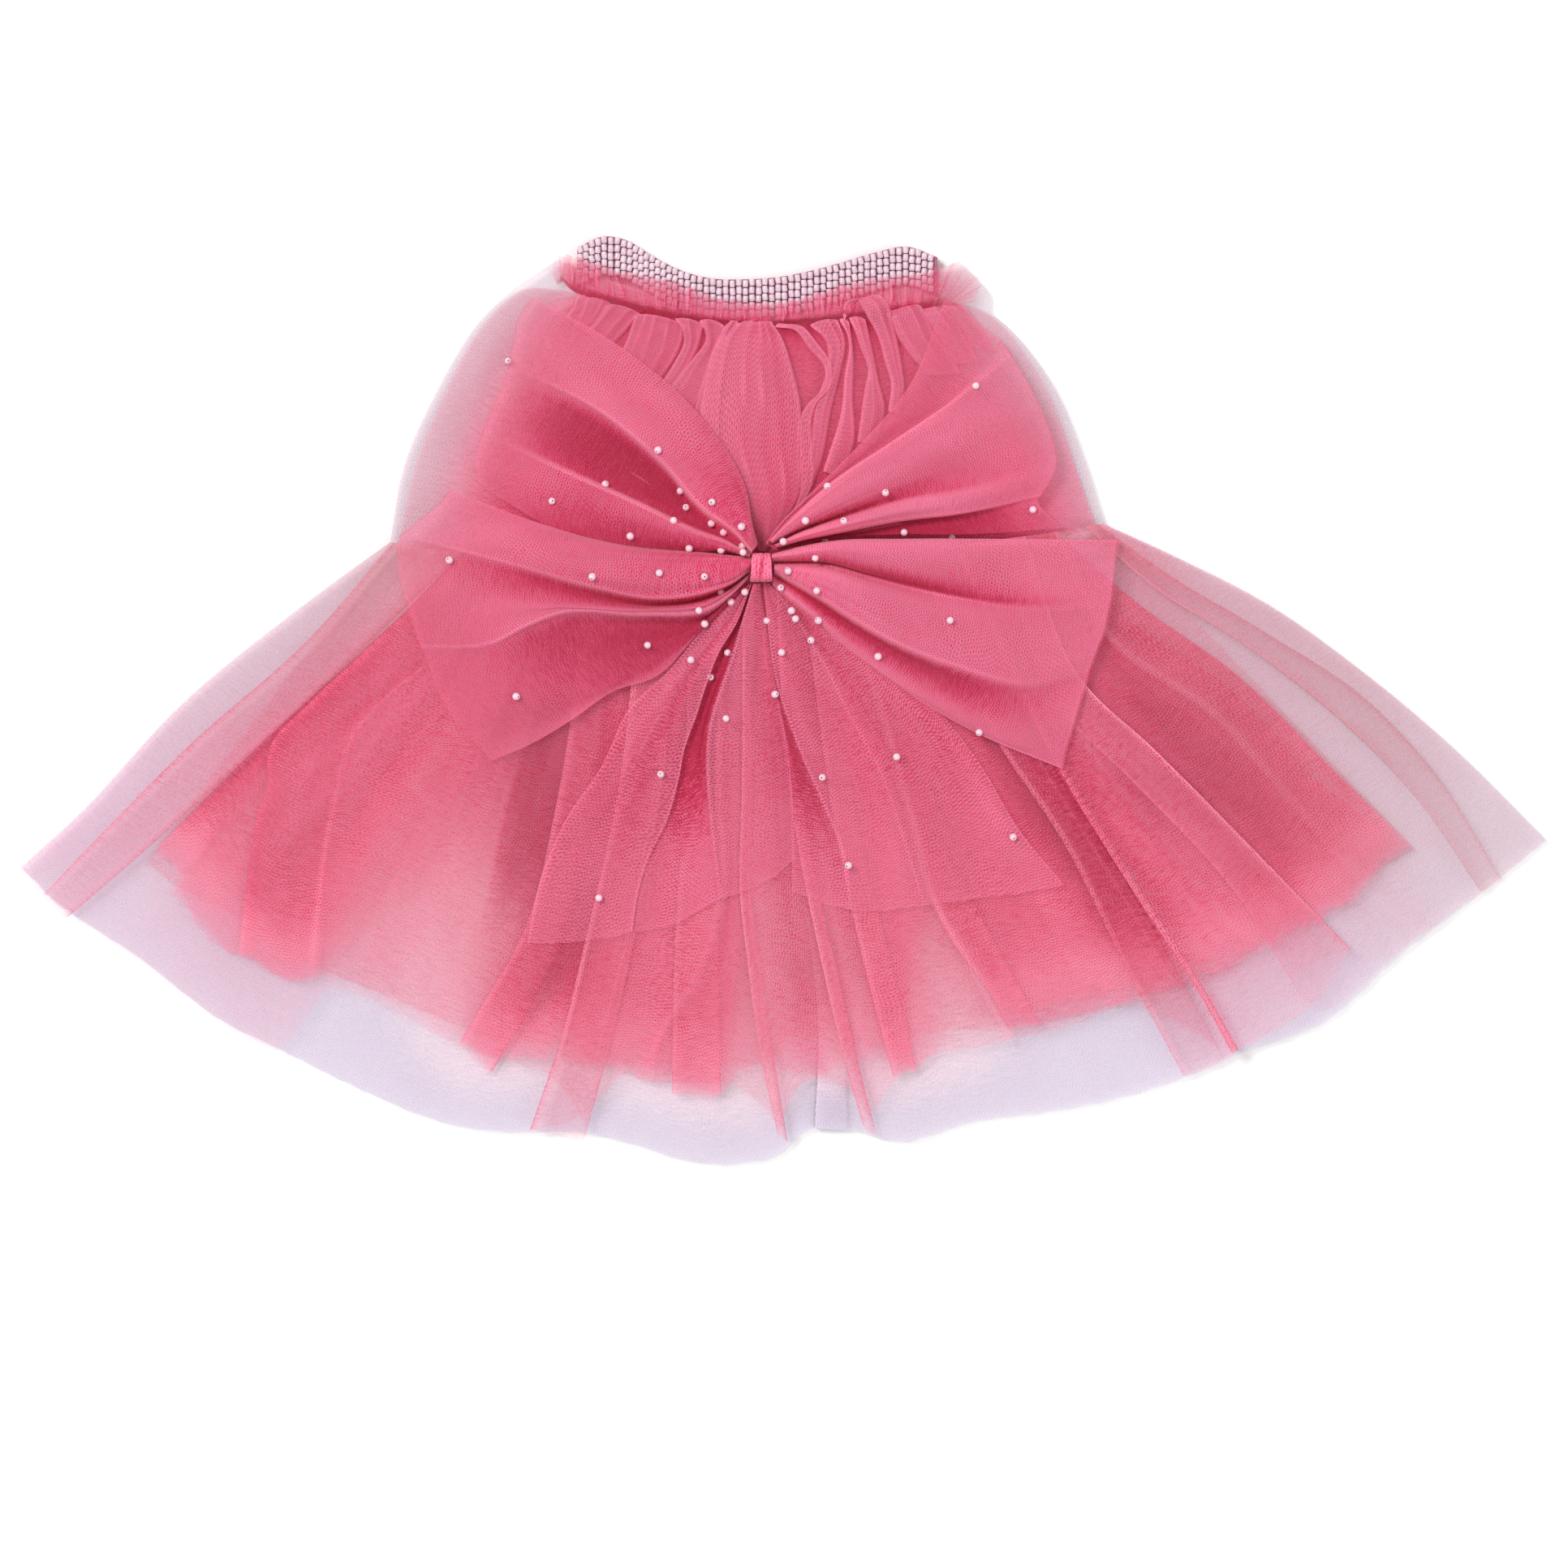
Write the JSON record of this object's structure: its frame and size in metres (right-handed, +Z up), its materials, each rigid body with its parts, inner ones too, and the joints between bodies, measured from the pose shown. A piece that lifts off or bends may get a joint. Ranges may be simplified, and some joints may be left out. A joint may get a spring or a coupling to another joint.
{
  "type": "dog tutu dress",
  "caption": "Gathered tulle tutu dress for a small dog, laid flat: beaded elastic neck band, bell-shaped yoke, lined layered skirt and a big beaded tulle bow at the waist.",
  "frame": {"origin": "middle of the bounding box at the height of the surface that the dress lies on", "axes": "+X across the dress, along its widest extent; +Y along the dress towards the neck; +Z up from the surface, through the layers"},
  "size_m": [0.5639, 0.3415, 0.0261],
  "materials": {
    "tulle_pink": "dense gathered pink tulle net, soft sheen",
    "tulle_sheer_pink": "single sheer layer of pink tulle net",
    "tulle_white": "white lilac lining tulle net",
    "pearl_beads": "pearly pink-white seed beads",
    "band_elastic": "mauve woven elastic under the beads"
  },
  "bodies": {
    "root": {"skirt_lining_back": "tulle_white", "skirt_back": "tulle_pink", "skirt_lining_front": "tulle_white", "skirt_under_front": "tulle_pink", "skirt_middle_front": "tulle_pink", "skirt_overlay_front": "tulle_sheer_pink", "yoke_lining_back": "tulle_white", "yoke_back": "tulle_pink", "yoke_lining_front": "tulle_white", "yoke_front": "tulle_pink", "neck_band_back": "band_elastic", "neck_band_front": "pearl_beads", "neck_frill_back": "tulle_pink", "neck_frill_front": "tulle_pink", "bow_tail_left": "tulle_pink", "bow_tail_right": "tulle_pink", "bow_loop_upper_left": "tulle_pink", "bow_loop_lower_left": "tulle_pink", "bow_loop_upper_right": "tulle_pink", "bow_loop_lower_right": "tulle_pink", "bow_knot": "tulle_pink"}
  },
  "joints": []
}
